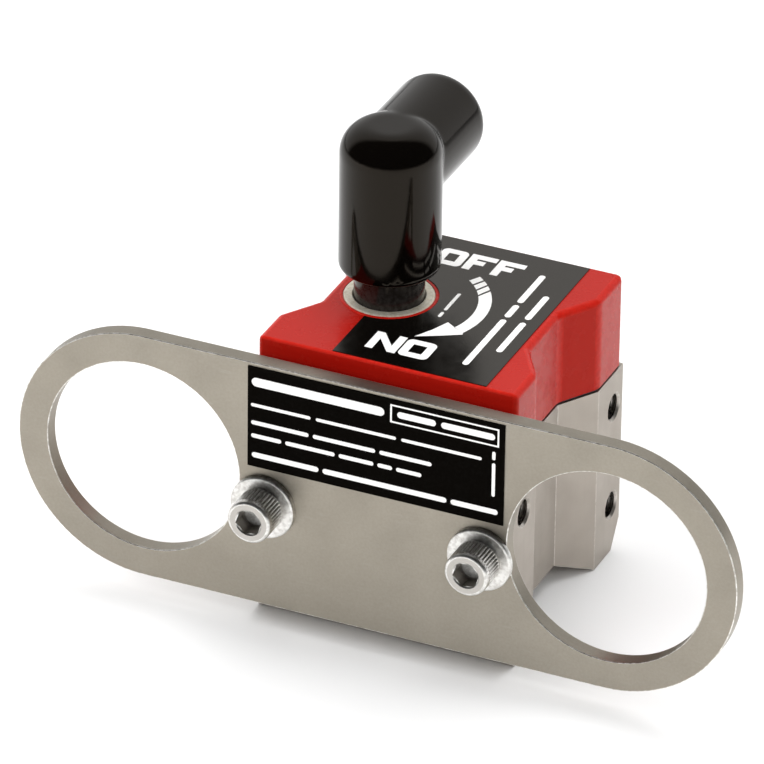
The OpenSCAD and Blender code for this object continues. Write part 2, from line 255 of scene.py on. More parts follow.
def arc(x, y, r, start, end, steps):
    """Points of an arc, with its angles in degrees."""
    turns = [math.radians(start + (end - start) * i / steps) for i in range(steps + 1)]
    return [(x + r * math.cos(a), y + r * math.sin(a)) for a in turns]


def merged(parts):
    """One bmesh that holds several, which are used up."""
    whole = bmesh.new()
    for part in parts:
        mesh = bpy.data.meshes.new("part")
        part.to_mesh(mesh)
        part.free()
        whole.from_mesh(mesh)
        bpy.data.meshes.remove(mesh)
    return whole


def at(x, y, z):
    """A move, to be followed by one of the turns below."""
    return Matrix.Translation((x, y, z))


ALONG_MINUS_Y = Matrix.Rotation(math.radians(90), 4, "X")
ALONG_PLUS_Y = Matrix.Rotation(math.radians(-90), 4, "X")
ALONG_PLUS_X = Matrix.Rotation(math.radians(90), 4, "Y")
ALONG_MINUS_X = Matrix.Rotation(math.radians(-90), 4, "Y")
YZ_OUTLINE = Matrix(((0, 0, 1, 0), (1, 0, 0, 0), (0, 1, 0, 0), (0, 0, 0, 1)))


# ---------------------------------------------------------------- materials
class Look:
    """A node material: a Principled shader and short helpers that add detail to it."""

    def __init__(self, name, color, metallic=0.0, roughness=0.5, **sockets):
        self.material = bpy.data.materials.new(name)
        self.material.use_nodes = True
        self.tree = self.material.node_tree
        self.shader = self.tree.nodes["Principled BSDF"]
        self.color = (*color, 1)
        self.shader.inputs["Base Color"].default_value = self.color
        self.shader.inputs["Metallic"].default_value = metallic
        self.shader.inputs["Roughness"].default_value = roughness
        for socket, value in sockets.items():
            self.shader.inputs[socket.replace("_", " ")].default_value = value
        self.coordinates = self.node("ShaderNodeTexCoord").outputs["Object"]
        self.bump = None

    def node(self, kind, **inputs):
        """A new node with some of its inputs set or linked."""
        made = self.tree.nodes.new(kind)
        for key, value in inputs.items():
            self.feed(made.inputs[key.replace("_", " ")], value)
        return made

    def feed(self, socket, value):
        """Links an output to a socket, or sets the socket to a plain value."""
        if isinstance(value, bpy.types.NodeSocket):
            self.tree.links.new(value, socket)
        else:
            socket.default_value = value

    def stretched(self, scale):
        """Object coordinates scaled by a vector, for grain that runs one way."""
        mapping = self.node("ShaderNodeMapping", Scale=scale)
        self.tree.links.new(self.coordinates, mapping.inputs["Vector"])
        return mapping.outputs["Vector"]

    def noise(self, scale, detail, stretch=None):
        """Noise in object space, stretched by a vector if one is given."""
        where = self.coordinates if stretch is None else self.stretched(stretch)
        made = self.node("ShaderNodeTexNoise", Vector=where, Scale=scale, Detail=detail, Roughness=0.55)
        return made.outputs["Fac"]

    def ramp(self, value, low, high, low_to=0.0, high_to=1.0):
        """Maps a value from low..high to low_to..high_to, clamped."""
        made = self.node("ShaderNodeMapRange", Value=value)
        for key, number in (("From Min", low), ("From Max", high), ("To Min", low_to), ("To Max", high_to)):
            made.inputs[key].default_value = number
        return made.outputs["Result"]

    def mix(self, factor, one, two):
        """Mixes two colours."""
        made = self.node("ShaderNodeMix")
        made.data_type = "RGBA"
        self.feed(made.inputs[0], factor)
        self.feed(made.inputs[6], one)
        self.feed(made.inputs[7], two)
        return made.outputs[2]

    def tint(self, factor, color):
        """Mixes another colour into the base colour."""
        base = self.shader.inputs["Base Color"]
        before = base.links[0].from_socket if base.links else self.color
        self.tree.links.new(self.mix(factor, before, (*color, 1)), base)

    def vary_roughness(self, value, low, high):
        """Lets the roughness run from low to high with a noise."""
        self.tree.links.new(self.ramp(value, 0.3, 0.7, low, high), self.shader.inputs["Roughness"])

    def rough(self, height, distance, strength=1.0):
        """Adds a bump of a height in metres."""
        made = self.node("ShaderNodeBump", Height=height)
        made.inputs["Strength"].default_value = strength
        made.inputs["Distance"].default_value = distance
        if self.bump is not None:
            self.tree.links.new(self.bump, made.inputs["Normal"])
        self.bump = made.outputs["Normal"]
        self.tree.links.new(self.bump, self.shader.inputs["Normal"])

    def edges(self, low=0.52, high=0.6, marked=False):
        """1 along outer edges, broken up by noise, from the marked faces or from the curvature."""
        if marked:
            # the marked faces are the ones that get the painted edge highlight
            mark = self.node("ShaderNodeAttribute")
            mark.attribute_name = "edge_glint"
            sharp = mark.outputs["Fac"]
        else:
            sharp = self.ramp(self.node("ShaderNodeNewGeometry").outputs["Pointiness"], low, high)
        broken = self.ramp(self.noise(900, 3), 0.35, 0.6, 0.3, 1.0)
        made = self.node("ShaderNodeMath")
        made.operation = "MULTIPLY"
        self.tree.links.new(sharp, made.inputs[0])
        self.tree.links.new(broken, made.inputs[1])
        return made.outputs[0]


def plate_steel():
    """Tumbled stainless plate: warm grey, matt, with a fine even grain and a painted highlight along its
    rounded edges.
    """
    look = Look("tumbled_stainless", (0.35, 0.318, 0.264), 1.0, 0.42)
    look.tint(look.ramp(look.noise(28, 6), 0.3, 0.7, 0.0, 0.55), (0.39, 0.357, 0.302))
    look.tint(look.ramp(look.noise(1400, 2), 0.35, 0.75, 0.0, 0.35), (0.285, 0.256, 0.213))
    look.tint(look.ramp(look.noise(160, 5, (1, 1, 6)), 0.62, 0.8, 0.0, 0.35), (0.43, 0.40, 0.345))
    # painted highlight: a bright line along the plate's rounded edges
    look.tint(look.edges(marked=True), (0.92, 0.90, 0.86))
    look.vary_roughness(look.noise(90, 5), 0.36, 0.48)
    look.rough(look.noise(2600, 3), 0.00006, 0.35)
    look.rough(look.noise(500, 4, (1, 1, 3)), 0.00005, 0.2)
    return look.material


def housing_steel():
    """Ground pole steel: light warm grey with faint vertical grinding lines and soft stains."""
    look = Look("ground_pole_steel", (0.435, 0.393, 0.345), 1.0, 0.46)
    look.tint(look.ramp(look.noise(22, 6), 0.3, 0.7, 0.0, 0.6), (0.48, 0.437, 0.387))
    look.tint(look.ramp(look.noise(420, 4, (1, 1, 0.08)), 0.45, 0.75, 0.0, 0.16), (0.355, 0.317, 0.277))
    look.tint(look.ramp(look.noise(60, 7), 0.62, 0.78, 0.0, 0.3), (0.36, 0.315, 0.265))
    # painted highlight along the block's rounded edges
    look.tint(look.edges(marked=True), (0.70, 0.66, 0.61))
    look.vary_roughness(look.noise(120, 5), 0.40, 0.54)
    look.rough(look.noise(900, 3, (1, 1, 0.06)), 0.00003, 0.18)
    look.rough(look.noise(2200, 2), 0.00004, 0.3)
    return look.material


def bright_stainless():
    """Bright cold-headed stainless of the screws and washers."""
    look = Look("bright_stainless", (0.50, 0.478, 0.445), 1.0, 0.34)
    look.tint(look.ramp(look.noise(700, 4), 0.5, 0.75, 0.0, 0.2), (0.44, 0.42, 0.39))
    # painted glints on the rims and knurl ridges of the screws and washers
    look.tint(look.edges(marked=True), (0.86, 0.85, 0.82))
    look.vary_roughness(look.noise(500, 4), 0.31, 0.38)
    look.rough(look.noise(1800, 3), 0.00001, 0.2)
    return look.material


def machined_steel():
    """Turned and milled steel of the inner pieces."""
    look = Look("machined_steel", (0.46, 0.46, 0.465), 1.0, 0.34)
    look.tint(look.ramp(look.noise(400, 4, (1, 1, 8)), 0.4, 0.7, 0.0, 0.4), (0.36, 0.36, 0.37))
    look.tint(look.edges(), (0.74, 0.74, 0.74))
    look.vary_roughness(look.noise(300, 4), 0.26, 0.42)
    look.rough(look.noise(900, 3, (1, 1, 10)), 0.00003, 0.3)
    return look.material


def nickel():
    """Nickel-plated sintered magnets."""
    look = Look("nickel_plate", (0.50, 0.49, 0.46), 1.0, 0.2)
    look.tint(look.ramp(look.noise(150, 5), 0.5, 0.75, 0.0, 0.3), (0.40, 0.38, 0.35))
    look.tint(look.edges(), (0.35, 0.34, 0.33))
    look.vary_roughness(look.noise(260, 4), 0.14, 0.28)
    look.rough(look.noise(1500, 3), 0.00003, 0.25)
    return look.material


def bronze():
    """Oil-filled sintered bronze of the bushes and thrust washers."""
    look = Look("sintered_bronze", (0.48, 0.29, 0.12), 1.0, 0.4)
    look.tint(look.ramp(look.noise(1600, 3), 0.5, 0.65, 0.0, 0.7), (0.20, 0.11, 0.05))
    look.tint(look.edges(), (0.70, 0.47, 0.24))
    look.vary_roughness(look.noise(300, 4), 0.32, 0.5)
    look.rough(look.noise(1700, 3), 0.00006, 0.4)
    return look.material


def hole_shade_steel():
    """Near-black steel colour laid inside the tapped holes as painted shade for their deep insides, with
    painted glints on the thread crests.
    """
    look = Look("painted_hole_shade", (0.10, 0.09, 0.08), 1.0, 0.3)
    look.tint(look.ramp(look.noise(800, 4), 0.4, 0.7, 0.0, 0.5), (0.05, 0.045, 0.04))
    # painted glints on the crests of the threads
    look.tint(look.edges(marked=True), (0.40, 0.38, 0.35))
    look.vary_roughness(look.noise(600, 4), 0.22, 0.4)
    look.rough(look.noise(1800, 3), 0.00002, 0.3)
    return look.material


def bush_metal():
    """Bare turned metal of the ring that guides the neck, pale and slightly grainy."""
    look = Look("bare_turned_ring", (0.64, 0.55, 0.39), 0.6, 0.45)
    look.tint(look.ramp(look.noise(1500, 4), 0.45, 0.7, 0.0, 0.6), (0.55, 0.46, 0.35))
    look.tint(look.ramp(look.noise(220, 5), 0.5, 0.75, 0.0, 0.5), (0.74, 0.67, 0.54))
    # painted highlight along the ring's rounded edges
    look.tint(look.edges(marked=True), (0.84, 0.79, 0.68))
    look.vary_roughness(look.noise(400, 4), 0.36, 0.56)
    look.rough(look.noise(1900, 4), 0.00008, 0.5)
    return look.material


def red_coat():
    """Red powder coat with a soft orange-peel surface."""
    look = Look("red_powder_coat", (0.41, 0.008, 0.004), 0.0, 0.26, IOR=1.28,
                Specular_Tint=(1.0, 0.66, 0.50, 1))
    look.tint(look.ramp(look.noise(60, 5), 0.35, 0.7, 0.0, 0.5), (0.44, 0.012, 0.006))
    look.tint(look.ramp(look.noise(1500, 3), 0.62, 0.8, 0.0, 0.4), (0.33, 0.005, 0.003))
    # painted highlight along the cover's rounded top edges
    look.tint(look.edges(marked=True), (0.50, 0.014, 0.008))
    look.vary_roughness(look.noise(220, 4), 0.20, 0.32)
    look.rough(look.noise(420, 3), 0.00005, 0.25)
    look.rough(look.noise(1900, 2), 0.00002, 0.2)
    return look.material


def black_vinyl():
    """Thick dipped vinyl: gloss black, with soft waves and faint scuffs."""
    look = Look("dipped_vinyl", (0.0016, 0.0012, 0.0009), 0.0, 0.10, IOR=1.31,
                Specular_Tint=(1.0, 0.86, 0.70, 1))
    look.tint(look.ramp(look.noise(900, 4), 0.6, 0.8, 0.0, 0.3), (0.006, 0.005, 0.004))
    look.tint(look.edges(0.56, 0.7), (0.012, 0.011, 0.010))
    look.vary_roughness(look.noise(130, 5), 0.07, 0.13)
    look.rough(look.noise(70, 3), 0.0003, 0.12)
    look.rough(look.noise(1400, 2), 0.00001, 0.3)
    return look.material


def black_paint():
    """Black painted steel of the handle's neck and core."""
    look = Look("black_paint", (0.007, 0.005, 0.004), 0.0, 0.24, IOR=1.36,
                Specular_Tint=(1.0, 0.86, 0.68, 1))
    look.tint(look.ramp(look.noise(700, 4), 0.6, 0.8, 0.0, 0.25), (0.03, 0.027, 0.024))
    look.tint(look.edges(0.55, 0.68), (0.09, 0.085, 0.08))
    look.vary_roughness(look.noise(260, 4), 0.12, 0.22)
    look.rough(look.noise(1200, 3, (1, 1, 4)), 0.00003, 0.3)
    return look.material


def gasket_rubber():
    """Matt black rubber."""
    look = Look("gasket_rubber", (0.018, 0.018, 0.018), 0.0, 0.75)
    look.tint(look.ramp(look.noise(900, 3), 0.4, 0.7, 0.0, 0.5), (0.035, 0.034, 0.033))
    look.tint(look.edges(), (0.05, 0.05, 0.05))
    look.vary_roughness(look.noise(500, 3), 0.66, 0.82)
    look.rough(look.noise(1800, 3), 0.00005, 0.4)
    return look.material


def label_film(name, ior):
    """Black printed film with a fine leathery grain; the index sets how much it shines."""
    look = Look(name, (0.0022, 0.0018, 0.0014), 0.0, 0.20, IOR=ior, Specular_Tint=(1.0, 0.88, 0.72, 1))
    look.tint(look.ramp(look.noise(1100, 3), 0.45, 0.7, 0.0, 0.4), (0.005, 0.0045, 0.004))
    look.tint(look.edges(0.9, 1.0), (0.03, 0.03, 0.03))
    look.vary_roughness(look.noise(300, 4), 0.16, 0.24)
    look.rough(look.noise(1500, 3), 0.00002, 0.25)
    return look.material


def label_print():
    """White print on the film."""
    look = Look("label_print", (0.95, 0.94, 0.92), 0.0, 0.5)
    look.tint(look.ramp(look.noise(1200, 3), 0.55, 0.8, 0.0, 0.35), (0.84, 0.83, 0.81))
    look.vary_roughness(look.noise(300, 4), 0.36, 0.5)
    look.rough(look.noise(1500, 3), 0.00003, 0.3)
    return look.material


PLATE_STEEL = plate_steel()
HOUSING_STEEL = housing_steel()
BRIGHT = bright_stainless()
MACHINED = machined_steel()
NICKEL = nickel()
BRONZE = bronze()
HOLE_SHADE = hole_shade_steel()
BUSH = bush_metal()
RED = red_coat()
VINYL = black_vinyl()
BLACK = black_paint()
RUBBER = gasket_rubber()
COVER_FILM = label_film("cover_label_film", 1.5)
PLATE_FILM = label_film("plate_label_film", 1.06)
PRINT = label_print()

# CAD nodes that keep their own shape, and the material of each
KEPT = {
    "lower_magnet": NICKEL, "upper_magnet": NICKEL, "magnet_spacer": BRONZE, "rotor_washer": BRONZE,
    "rotor_bush": BRONZE, "drive_bush": BRONZE, "rotor_carrier": MACHINED, "rotor_gear": MACHINED,
    "rotor_clip": MACHINED, "stop_pin": MACHINED, "bearing_plate": MACHINED,
    "bearing_plate_screws": MACHINED, "drive_gear": MACHINED, "spring_washer": MACHINED,
    "lock_pin": MACHINED, "cover_screws": MACHINED, "handle_arm": BLACK, "handle_shaft": BLACK,
    "cover_gasket": RUBBER, "cover_label": COVER_FILM, "plate_label": PLATE_FILM,
}


def dress_kept_nodes():
    """Gives every CAD node that keeps its own shape its material."""
    for name, material in KEPT.items():
        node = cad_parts[name]
        node.data.materials.clear()
        node.data.materials.append(material)
        for face in node.data.polygons:
            face.material_index = 0


# ---------------------------------------------------------------- magnet block
FLANGE_L, WAIST_Y, HALF_WAIST = 16.0, 26.8, 28.9
FOOT_CHAMFER, FOOT_CHAMFER_H, FOOT_END, CHANNEL_H = 5.0, 7.6, 15.6, 5.5
SIDE_TAP_Y, SIDE_TAP_Z, REAR_TAP_Z = (8.9, 66.9), (14.0, 43.1), 28.5
COVER_FRONT, COVER_REAR = COVER_LOW.y - FRONT_Y, REAR_Y - COVER_HIGH.y
END_TAP_DEPTH, SIDE_TAP_DEPTH = 13, 10
THREAD_PITCH, THREAD_CORE, THREAD_OUTER = 1.41, 3.3, 3.97
BORE_R, BORE_FLOOR_Z = 25.6, 8.5
GASKET_T, COVER_WALL, COVER_ROOF = 0.6, 2.5, 3.1
COVER_END_ROUND, COVER_SIDE_ROUND, COVER_CORNER_ROUND = 0.75, 1.7, 1.4
BOSS_R, BOSS_H = 12.5, 0.25
BUSH_GROOVE_R = 10.7


def plan(dx=0.0, front=0.0, rear=0.0):
    """Plan outline of the block, drawn in at the sides, the front and the rear."""
    w, n = HALF_W - dx, HALF_WAIST - dx
    a, b = FRONT_Y + FLANGE_L, FRONT_Y + WAIST_Y
    c, d = REAR_Y - WAIST_Y, REAR_Y - FLANGE_L
    right = [(w, FRONT_Y + front), (w, a), (n, b), (n, c), (w, d), (w, REAR_Y - rear)]
    return right + [(-x, y) for x, y in reversed(right)]


def side_outline():
    """Side outline of the steel, as (y, z): two chamfered feet and the channel between them."""
    front = [(FRONT_Y, BODY_H), (FRONT_Y, FOOT_CHAMFER_H), (FRONT_Y + FOOT_CHAMFER, 0),
             (FRONT_Y + FOOT_END, 0), (FRONT_Y + WAIST_Y, CHANNEL_H)]
    return front + [(2 * MID_Y - y, z) for y, z in reversed(front)]


def tapped(depth, inset=0.0):
    """Profile of a tapped hole below its mouth: the thread's ridges and a drilled point."""
    profile = []
    z = 0.8
    while z + THREAD_PITCH < depth:
        profile += [(THREAD_CORE + 0.05, z), (THREAD_CORE + 0.05, z + 0.2), (THREAD_OUTER, z + 0.66),
                    (THREAD_OUTER, z + 0.86)]
        z += THREAD_PITCH
    profile += [(THREAD_CORE, depth), (0, depth + 1.4)]
    return [(max(r - inset, 0), z - inset) for r, z in profile]


def thread_cutter(depth, turn):
    """A tapped hole with a chamfered mouth."""
    mouth = [(0, -1), (THREAD_OUTER + 1.0, -1), (THREAD_OUTER + 0.05, 0.0), (THREAD_CORE + 0.1, 0.6)]
    return raw_object(lathe(mouth + tapped(depth), 48, turn))


def tap_places():
    """Depth and placing of every tapped hole; the first two are the front pair, which the screws fill."""
    places = []
    for x in (-SCREW_X, SCREW_X):
        places.append((END_TAP_DEPTH, at(x, FRONT_Y, SCREW_Z) @ ALONG_PLUS_Y))
    for x in (-SCREW_X, SCREW_X):
        places.append((END_TAP_DEPTH, at(x, REAR_Y, REAR_TAP_Z) @ ALONG_MINUS_Y))
    for y in SIDE_TAP_Y:
        for z in SIDE_TAP_Z:
            places.append((SIDE_TAP_DEPTH, at(HALF_W, FRONT_Y + y, z) @ ALONG_MINUS_X))
            places.append((SIDE_TAP_DEPTH, at(-HALF_W, REAR_Y - y, z) @ ALONG_PLUS_X))
    return places


def housing():
    """Steel block: flanged poles, a waist between them, two feet and the tapped holes."""
    body = raw_object(prism(plan(), 0, BODY_H))
    side = prism(side_outline(), -HALF_W - 1, HALF_W + 1, YZ_OUTLINE)
    combine(body, [raw_object(side)], "INTERSECT")
    bevelled(body, 0.9, 20)
    cutters = [raw_object(prism(circle_points(BORE_R, 128, 0, MID_Y), BORE_FLOOR_Z, BODY_H + 1))]
    cutters += [thread_cutter(depth, turn) for depth, turn in tap_places()]
    combine(body, cutters)
    return finish_work(body, "pole_housing_body", HOUSING_STEEL, "block", ["pole_housing"])


def hole_shade_lining():
    """Dark linings just inside the open tapped holes, which paint the shade deep in them."""
    parts = []
    for depth, turn in tap_places()[2:]:
        parts.append(lathe([(THREAD_CORE + 0.08, 0.62)] + tapped(depth, 0.02), 48, turn))
    return finish_mesh("tapped_hole_shade", merged(parts), HOLE_SHADE, "block")


def cover():
    """Cast cover: rounded top edges, a raised boss round the bush, and a hollow inside."""
    low, high = COVER_LOW.z + GASKET_T, COVER_TOP
    inset = HALF_W - COVER_HIGH.x
    shell = raw_object(prism(plan(inset, COVER_FRONT, COVER_REAR), low, high))

    def width(a, b):
        """How far the edge between two corners is rounded."""
        if abs(a.z - high) < 0.01 and abs(b.z - high) < 0.01:
            return COVER_END_ROUND if abs(a.y - b.y) < 0.01 else COVER_SIDE_ROUND
        return COVER_CORNER_ROUND if abs(a.z - b.z) > 1 else 0.0

    rounded_edges(shell, width)
    boss = [(0, high - 2), (BOSS_R, high - 2), (BOSS_R, high + 0.05), (BOSS_R - 0.2, high + BOSS_H),
            (0, high + BOSS_H)]
    combine(shell, [raw_object(lathe(boss, 128, at(AXIS_X, MID_Y, 0)))], "UNION")
    inside = plan(inset + COVER_WALL, COVER_FRONT + COVER_WALL, COVER_REAR + COVER_WALL)
    cavity = raw_object(prism(inside, low - 1, high - COVER_ROOF))
    hole = raw_object(prism(circle_points(BUSH_R, 128, AXIS_X, MID_Y), low, high + 3))
    combine(shell, [cavity, hole])
    return finish_work(shell, "top_cover_shell", RED, "block", ["top_cover"])


def bush():
    """Ring that guides the neck, with small chamfers and the groove for the lock pin inside."""
    low, high, inner = BUSH_LOW.z, BUSH_HIGH.z, NECK_R + 0.05
    profile = [(inner, low + 3.6), (inner, high - 0.35), (inner + 0.35, high), (BUSH_R - 0.45, high),
               (BUSH_R - 0.05, high - 0.4), (BUSH_R - 0.05, low), (BUSH_GROOVE_R, low),
               (BUSH_GROOVE_R, low + 3.3)]
    ring = lathe(profile, 128, at(AXIS_X, MID_Y, 0), True)
    return finish_mesh("shaft_bush_ring", ring, BUSH, "block", ["shaft_bush"])


# ---------------------------------------------------------------- handle
GRIP_FOOT_ROUND, GRIP_TOP_ROUND = 1.2, 7.8
ARM_ROOT_ROUND, ARM_END_ROUND = 1.0, 4.7


def round_bar(r, length, low_round, high_round, turn):
    """A closed round bar with rounded ends."""
    profile = [(0, 0)]
    profile += [(r - low_round + x, low_round + z) for x, z in arc(0, 0, low_round, -90, 0, 6)]
    profile += [(r - high_round + x, length - high_round + z) for x, z in arc(0, 0, high_round, 0, 90, 14)]
    profile.append((0, length))
    return lathe(profile, 128, turn)


def grip():
    """L-shaped dipped grip: an upright and an arm that run into each other in a soft crease."""
    upright = raw_object(round_bar(GRIP_R, GRIP_HIGH.z - GRIP_LOW.z, GRIP_FOOT_ROUND, GRIP_TOP_ROUND,
                                   at(AXIS_X, MID_Y, GRIP_LOW.z)))
    arm = raw_object(round_bar(ARM_R - 0.05, GRIP_HIGH.y - MID_Y, ARM_ROOT_ROUND, ARM_END_ROUND,
                               at(AXIS_X, MID_Y, ARM_Z) @ ALONG_PLUS_Y))
    combine(upright, [arm], "UNION")
    step = upright.modifiers.new("remesh", "REMESH")
    step.mode = "VOXEL"
    step.voxel_size = 0.5
    step = upright.modifiers.new("smooth", "SMOOTH")
    step.factor = 0.5
    step.iterations = 8
    applied(upright)
    return finish_work(upright, "handle_grip_vinyl", VINYL, "handle", ["handle_grip"], 60)


def grip_lip():
    """Thin rim where the vinyl ends round the neck."""
    section = [(0.02, -0.9), (0.5, -0.75), (0.75, -0.3), (0.8, 0.6), (0.02, 0.6)]
    profile = [(NECK_R + r, GRIP_LOW.z + z) for r, z in section]
    rim = lathe(profile, 96, at(AXIS_X, MID_Y, 0), True)
    return finish_mesh("handle_grip_lip", rim, VINYL, "handle")


def spring():
    """Compression spring, drawn as a swept helix."""
    low, high = box_mm("push_spring")
    x, y = (low.x + high.x) / 2, (low.y + high.y) / 2
    wire, turns, per_turn, sides = 0.65, 6, 32, 12
    end_rise = 0.9  # of each closed end turn
    length = high.z - low.z
    pitch = (length - 2 * wire - 2 * end_rise) / (turns - 2)
    orbit = (high.x - low.x) / 2 - wire
    bm = bmesh.new()
    rings = []
    for i in range(turns * per_turn + 1):
        t = i / per_turn
        end_turns = min(t, 1) + max(0, t - turns + 1)
        open_turns = max(0, min(t, turns - 1) - 1)
        wire_z = low.z + wire + end_turns * end_rise + open_turns * pitch
        a = 2 * math.pi * t
        ring = []
        for b in angles(sides):
            r = orbit + wire * math.cos(b)
            ring.append(bm.verts.new((x + r * math.cos(a), y + r * math.sin(a), wire_z + wire * math.sin(b))))
        rings.append(ring)
    for one, two in zip(rings, rings[1:]):
        for k in range(sides):
            bm.faces.new([one[k], two[k], two[(k + 1) % sides], one[(k + 1) % sides]])
    bm.faces.new(rings[0])
    bm.faces.new(list(reversed(rings[-1])))
    piece = finish_mesh("push_spring_coil", bm, MACHINED, "drive", ["push_spring"])
    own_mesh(piece)
    return piece


# ---------------------------------------------------------------- plate and its fasteners
RING_HOLE_R, SCREW_HOLE_R, WASHER_HOLE_R = 26.8, 4.15, 4.25
FLUTES, FLUTE_DEPTH = 40, 0.26
SOCKET_AF, SOCKET_DEPTH, SOCKET_DRILL_R = 6.35, 4.1, 3.0
SCREW_TURN = 12  # degrees, so that neither socket stands square
SHANK_IN_BLOCK = 10


def plate():
    """Laser-cut stainless plate with round ends, two ring holes and two screw holes."""
    end_x = PLATE_HIGH.x - PLATE_R
    outline = arc(end_x, 0, PLATE_R, -90, 90, 72) + arc(-end_x, 0, PLATE_R, 90, 270, 72)
    turn = at(0, PLATE_HIGH.y, PLATE_Z) @ ALONG_MINUS_Y
    body = raw_object(prism(outline, 0, PLATE_T, turn))
    cutters = []
    for side in (-1, 1):
        ring_hole = circle_points(RING_HOLE_R, 144, side * end_x)
        screw_hole = circle_points(SCREW_HOLE_R, 48, side * SCREW_X, SCREW_Z - PLATE_Z)
        cutters += [raw_object(prism(hole, -1, PLATE_T + 1, turn)) for hole in (ring_hole, screw_hole)]
    combine(body, cutters)
    bevelled(body, 0.5, 40)
    return finish_work(body, "tie_down_plate_sheet", PLATE_STEEL, "block",
                       ["tie_down_plate"])


def washers():
    """Plain washers, stamped: the front edge is rounded and the rear edge is square."""
    r, t, hole = WASHER_R, WASHER_T, WASHER_HOLE_R
    profile = [(hole, 0), (r - 0.05, 0), (r, 0.1), (r, t - 0.55), (r - 0.12, t - 0.25), (r - 0.4, t - 0.05),
               (r - 0.7, t), (hole + 0.3, t), (hole, t - 0.2)]
    parts = []
    for x in (-SCREW_X, SCREW_X):
        parts.append(lathe(profile, 96, at(x, PLATE_LOW.y, SCREW_Z) @ ALONG_MINUS_Y, True))
    return finish_mesh("plate_washer_pair", merged(parts), BRIGHT, "block",
                       ["plate_washers"])


def screw_head(turn):
    """Socket head with a knurled side and a rounded rim, from rows of (radius, z, knurled or not)."""
    height, r = HEAD_H, HEAD_R
    steps = FLUTES * 6
    rows = [(r - 0.55, 0.0, 0), (r - 0.1, 0.25, 0), (r - 0.02, 0.6, 0), (r, 0.85, 1), (r, height - 2.0, 1),
            (r - 0.02, height - 1.75, 0)]
    for degrees in range(0, 91, 15):
        a = math.radians(degrees)
        rows.append((r - 0.9 + 0.88 * math.cos(a), height - 0.9 + 0.9 * math.sin(a), 0))
    bm = bmesh.new()
    rings = []
    for radius, z, knurl in rows:
        ring = []
        for i, a in enumerate(angles(steps)):
            groove = FLUTE_DEPTH * knurl * (0.5 - 0.5 * math.cos(2 * math.pi * FLUTES * i / steps)) ** 1.5
            ring.append(bm.verts.new(((radius - groove) * math.cos(a), (radius - groove) * math.sin(a), z)))
        rings.append(ring)
    for one, two in zip(rings, rings[1:]):
        for i in range(steps):
            j = (i + 1) % steps
            bm.faces.new([one[i], one[j], two[j], two[i]])
    bm.faces.new(list(reversed(rings[0])))
    bm.faces.new(rings[-1])
    head = raw_object(bm)
    socket_r = SOCKET_AF / 2 / math.cos(math.radians(30))
    hexagon = prism(circle_points(socket_r, 6), height - SOCKET_DEPTH, height + 1)
    mouth = lathe([(0, height - 0.35), (socket_r - 0.35, height - 0.35), (socket_r + 0.25, height + 0.25),
                   (0, height + 0.25)], 48)
    drill = lathe([(0, height - 5.0), (SOCKET_DRILL_R, height - 4.0), (SOCKET_DRILL_R, height - 3.6),
                   (0, height - 3.6)], 48)
    combine(head, [raw_object(hexagon), raw_object(mouth), raw_object(drill)])
    bm = bmesh.new()
    bm.from_mesh(head.data)
    bpy.data.objects.remove(head)
    bmesh.ops.transform(bm, matrix=turn, verts=bm.verts)
    return bm


def screw_thread(turn):
    """Threaded shank that runs through the washer and the plate into the block."""
    length = WASHER_T + PLATE_T + SHANK_IN_BLOCK
    profile = [(0, -length), (2.6, -length), (3.2, -length + 0.8)]
    z = -length + 1.0
    while z + THREAD_PITCH < -0.5:
        profile += [(THREAD_OUTER - 0.1, z + 0.3), (THREAD_OUTER - 0.1, z + 0.5), (THREAD_CORE, z + 1.1),
                    (THREAD_CORE, z + 1.3)]
        z += THREAD_PITCH
    profile += [(3.9, -0.2), (3.9, 0.4), (0, 0.4)]
    return lathe(profile, 48, turn)


def screws():
    """The two cap screws that hold the plate."""
    parts = []
    twist = Matrix.Rotation(math.radians(SCREW_TURN), 4, "Z")
    for x in (-SCREW_X, SCREW_X):
        turn = at(x, WASHER_LOW.y, SCREW_Z) @ ALONG_MINUS_Y @ twist
        parts += [screw_head(turn), screw_thread(turn)]
    return finish_mesh("plate_screw_pair", merged(parts), BRIGHT, "block",
                       ["plate_screws"], 28)


# ---------------------------------------------------------------- print on the labels
PRINT_T, PRINT_SINK = 0.04, 0.02


def printed(shapes, name, turn):
    """Flat white shapes, given as outlines, raised very slightly above the film."""
    parts = [prism(shape, -PRINT_SINK, PRINT_T, turn) for shape in shapes]
    return finish_mesh(name, merged(parts), PRINT, "block")


def rectangle(x0, y0, x1, y1):
    """Outline of an upright rectangle."""
    return [(x0, y0), (x1, y0), (x1, y1), (x0, y1)]


def outlined(x0, y0, x1, y1, w):
    """Four strips that make a frame."""
    return [rectangle(x0, y0, x1, y0 + w), rectangle(x0, y1 - w, x1, y1),
            rectangle(x0, y0 + w, x0 + w, y1 - w), rectangle(x1 - w, y0 + w, x1, y1 - w)]


